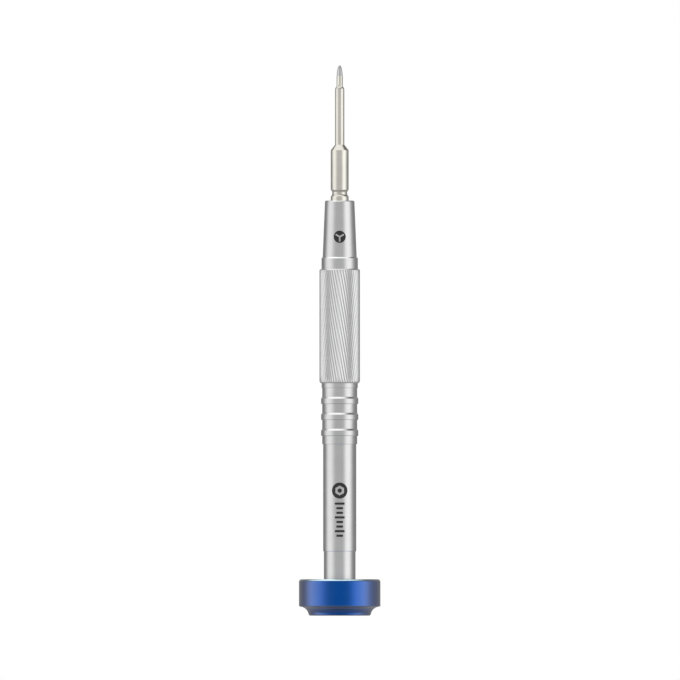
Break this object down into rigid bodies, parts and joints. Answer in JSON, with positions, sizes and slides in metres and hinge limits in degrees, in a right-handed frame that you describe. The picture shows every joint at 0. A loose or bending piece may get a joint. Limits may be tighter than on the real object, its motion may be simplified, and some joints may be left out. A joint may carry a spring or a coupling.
{
  "type": "precision screwdriver with spinning cap",
  "caption": "Slim turned aluminium precision screwdriver with a fine knurled grip, a ball-bearing finger cap and a removable tri-wing bit.",
  "frame": {"origin": "centre of the cap's flat end, which is the face the tool stands on", "axes": "+Z along the tool's axis from the cap to the tip; -Y is the front, which carries the printed marks; +X is to the right when seen from the front"},
  "size_m": [0.0181, 0.018, 0.1224],
  "materials": {
    "satin_aluminium": "fine-turned, clear anodised, satin",
    "blue_anodised": "blue anodised over a fine-turned surface, satin",
    "bit_steel": "nickel-plated tool steel, satin",
    "socket_steel": "broached and nickel plated",
    "magnet_nickel": "bright nickel plate",
    "screw_steel": "black oxide",
    "race_steel": "ground bearing steel",
    "ball_steel": "mirror-lapped bearing steel",
    "cage_nylon": "natural moulded nylon",
    "shield_steel": "pressed stainless sheet",
    "spring_steel": "phosphated spring steel",
    "shim_steel": "rolled stainless shim"
  },
  "bodies": {
    "handle": {"handle_barrel": "satin_aluminium", "bit_socket_sleeve": "socket_steel", "bit_magnet": "magnet_nickel", "pivot_screw": "screw_steel", "bearing_shim": "shim_steel", "bearing_inner_ring": "race_steel"},
    "cap": {"cap_shell": "blue_anodised", "cap_end_disc": "blue_anodised", "bearing_circlip": "spring_steel", "bearing_outer_ring": "race_steel", "bearing_shield_top": "shield_steel", "bearing_shield_bottom": "shield_steel", "shield_clip_top": "spring_steel", "shield_clip_bottom": "spring_steel"},
    "ball_set": {"bearing_ball_1": "ball_steel", "bearing_ball_2": "ball_steel", "bearing_ball_3": "ball_steel", "bearing_ball_4": "ball_steel", "bearing_ball_5": "ball_steel", "bearing_ball_6": "ball_steel", "bearing_ball_7": "ball_steel", "bearing_cage": "cage_nylon"},
    "bit": {"tri_wing_bit": "bit_steel"}
  },
  "joints": [
    {"name": "cap_spin", "type": "hinge", "parent": "handle", "child": "cap", "pos_m": [0, 0, 0.0048], "axis": [0, 0, 1], "continuous": true},
    {"name": "ball_orbit", "type": "hinge", "parent": "handle", "child": "ball_set", "pos_m": [0, 0, 0.0048], "axis": [0, 0, 1], "continuous": true},
    {"name": "bit_pull", "type": "slide", "parent": "handle", "child": "bit", "axis": [0, 0, 1], "range_m": [0, 0.015]}
  ],
  "couplings": [
    {"joint": "ball_orbit", "follows": "cap_spin", "ratio": 0.62215}
  ]
}
